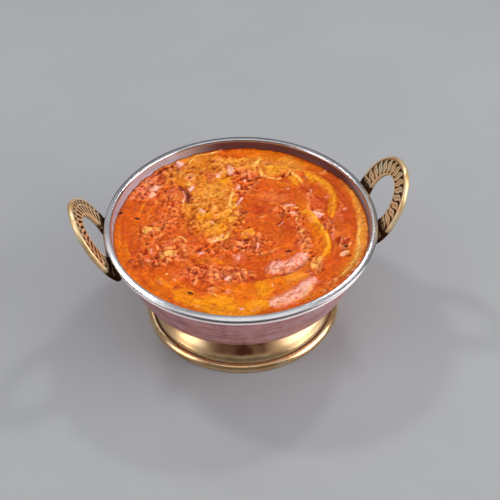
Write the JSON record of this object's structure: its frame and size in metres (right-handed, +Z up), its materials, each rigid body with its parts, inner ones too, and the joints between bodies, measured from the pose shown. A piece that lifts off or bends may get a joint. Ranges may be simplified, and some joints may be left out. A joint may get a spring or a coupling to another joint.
{
  "type": "bowl of mutton curry",
  "caption": "Thick mutton curry filling a hammered copper serving bowl with a steel liner, a brass foot and leaning brass ring handles.",
  "frame": {"origin": "middle of the circle that the foot stands on", "axes": "+Z up, +X towards the right-hand handle, +Y away from the viewer"},
  "size_m": [0.1838, 0.15, 0.0875],
  "materials": {
    "polished_steel": "bright polished stainless steel, a little grey in the shade",
    "hammered_copper": "hammered copper with a fine brushed grain, a mauve cast and a bright rolled lip",
    "polished_brass": "spun polished brass, darker in the groove",
    "engraved_brass": "cast brass with a worn polish, engraving filled with dark patina",
    "madras_sauce": "thick oily sauce, orange to ochre yellow with deep red patches",
    "mutton": "braised meat under a film of sauce",
    "tomato": "wet cooked tomato skin",
    "garlic": "soft cooked clove, wet",
    "onion": "soft cooked onion, translucent and wet"
  },
  "bodies": {
    "root": {"steel_liner": "polished_steel", "copper_shell": "hammered_copper", "brass_foot": "polished_brass", "handle_right": "engraved_brass", "handle_left": "engraved_brass", "stew": "madras_sauce", "mutton_1": "mutton", "mutton_2": "mutton", "mutton_3": "mutton", "mutton_4": "mutton", "mutton_5": "mutton", "mutton_6": "mutton", "mutton_7": "mutton", "mutton_8": "mutton", "mutton_9": "mutton", "mutton_10": "mutton", "mutton_11": "mutton", "tomato_1": "tomato", "tomato_2": "tomato", "garlic_1": "garlic", "onion_1": "onion", "onion_2": "onion"}
  },
  "joints": []
}
